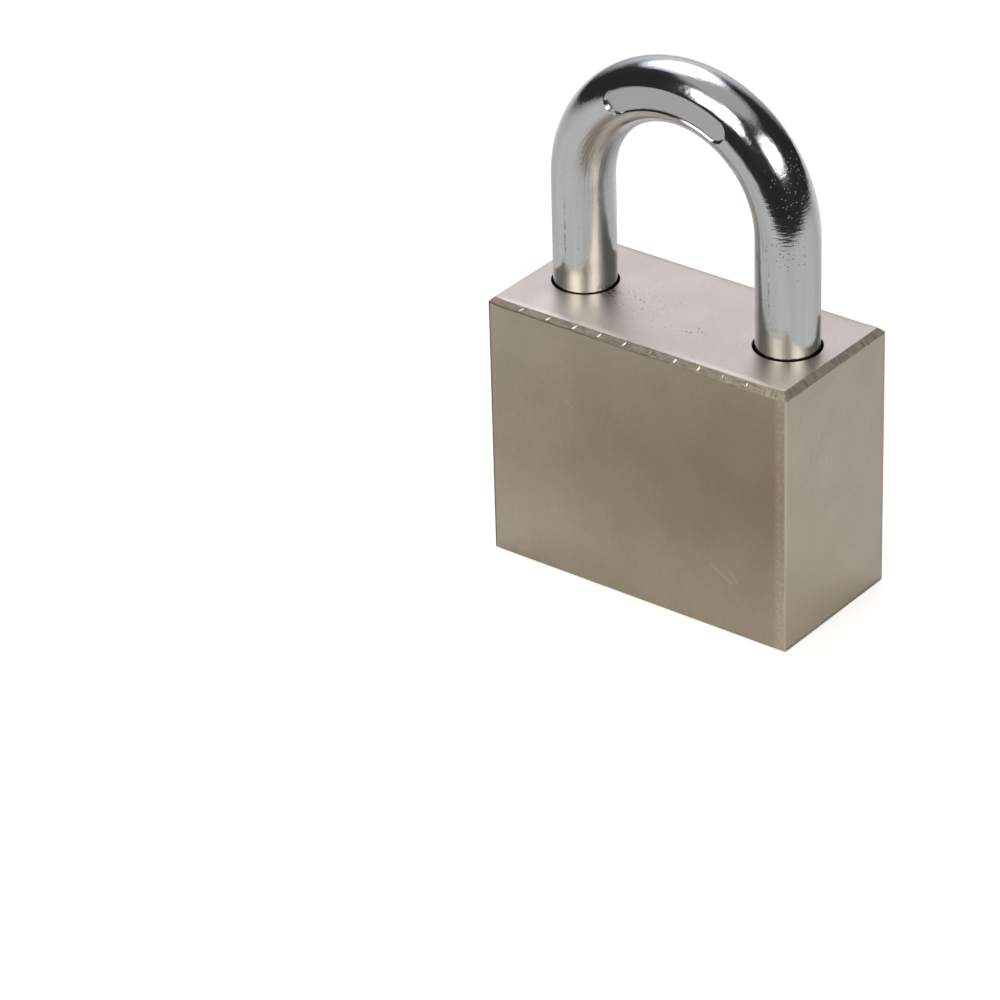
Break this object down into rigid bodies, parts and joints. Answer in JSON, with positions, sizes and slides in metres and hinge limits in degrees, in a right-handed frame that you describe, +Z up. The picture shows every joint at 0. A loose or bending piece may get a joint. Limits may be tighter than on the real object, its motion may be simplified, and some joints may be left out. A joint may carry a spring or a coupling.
{
  "type": "padlock",
  "caption": "Square-bodied steel padlock: a round bent shackle locked by balls, released by a disc cylinder keyed from below.",
  "frame": {"origin": "middle of the case's bottom face", "axes": "+Z up to the bow, +X to the toe leg, the front face looks along -Y"},
  "size_m": [0.05, 0.024, 0.0777],
  "materials": {
    "satin_nickel": "satin nickel plate",
    "shackle_chrome": "bright chrome plate",
    "ball_steel": "polished",
    "spring_steel": "drawn wire",
    "brass": "turned",
    "plated_steel": "zinc plate"
  },
  "bodies": {
    "case": {"lock_body": "satin_nickel", "channel_plug": "satin_nickel", "cylinder_pin": "satin_nickel", "cylinder_sleeve": "brass", "sleeve_cap": "brass", "heel_spring": "spring_steel"},
    "shackle": {"shackle": "shackle_chrome"},
    "toe_ball": {"toe_ball": "ball_steel"},
    "heel_ball": {"heel_ball": "ball_steel"},
    "rotor": {"face_plate": "plated_steel", "drum": "brass", "locking_cam": "plated_steel", "tumbler_disc_1": "plated_steel", "tumbler_disc_2": "plated_steel", "tumbler_disc_3": "plated_steel", "tumbler_disc_4": "plated_steel", "tumbler_disc_5": "plated_steel", "tumbler_disc_6": "plated_steel", "tumbler_disc_7": "plated_steel", "tumbler_disc_8": "plated_steel", "spacer_1": "brass", "spacer_2": "brass", "spacer_3": "brass", "spacer_4": "brass", "spacer_5": "brass", "spacer_6": "brass", "spacer_7": "brass", "spacer_8": "brass", "spacer_9": "brass"},
    "side_bar": {"side_bar": "brass"}
  },
  "joints": [
    {"name": "shackle_lift", "type": "slide", "parent": "case", "child": "shackle", "axis": [0, 0, 1], "range_m": [0, 0.0135], "deforming": ["heel_spring"]},
    {"name": "rotor_turn", "type": "hinge", "parent": "case", "child": "rotor", "pos_m": [0, 0, 0.0134], "axis": [0, 0, 1], "range_deg": [0, 90]},
    {"name": "toe_ball_slide", "type": "slide", "parent": "case", "child": "toe_ball", "axis": [-1, 0, 0], "range_m": [0, 0.0037]},
    {"name": "heel_ball_slide", "type": "slide", "parent": "case", "child": "heel_ball", "axis": [1, 0, 0], "range_m": [0, 0.001]},
    {"name": "side_bar_slide", "type": "slide", "parent": "rotor", "child": "side_bar", "axis": [0, 1, 0], "range_m": [0, 0.0008]}
  ],
  "couplings": [
    {"joint": "rotor_turn", "follows": "shackle_lift", "rad_per_m": 116.36},
    {"joint": "toe_ball_slide", "follows": "shackle_lift", "ratio": 0.27407},
    {"joint": "heel_ball_slide", "follows": "shackle_lift", "ratio": 0.074074},
    {"joint": "side_bar_slide", "follows": "shackle_lift", "ratio": 0.059259}
  ]
}
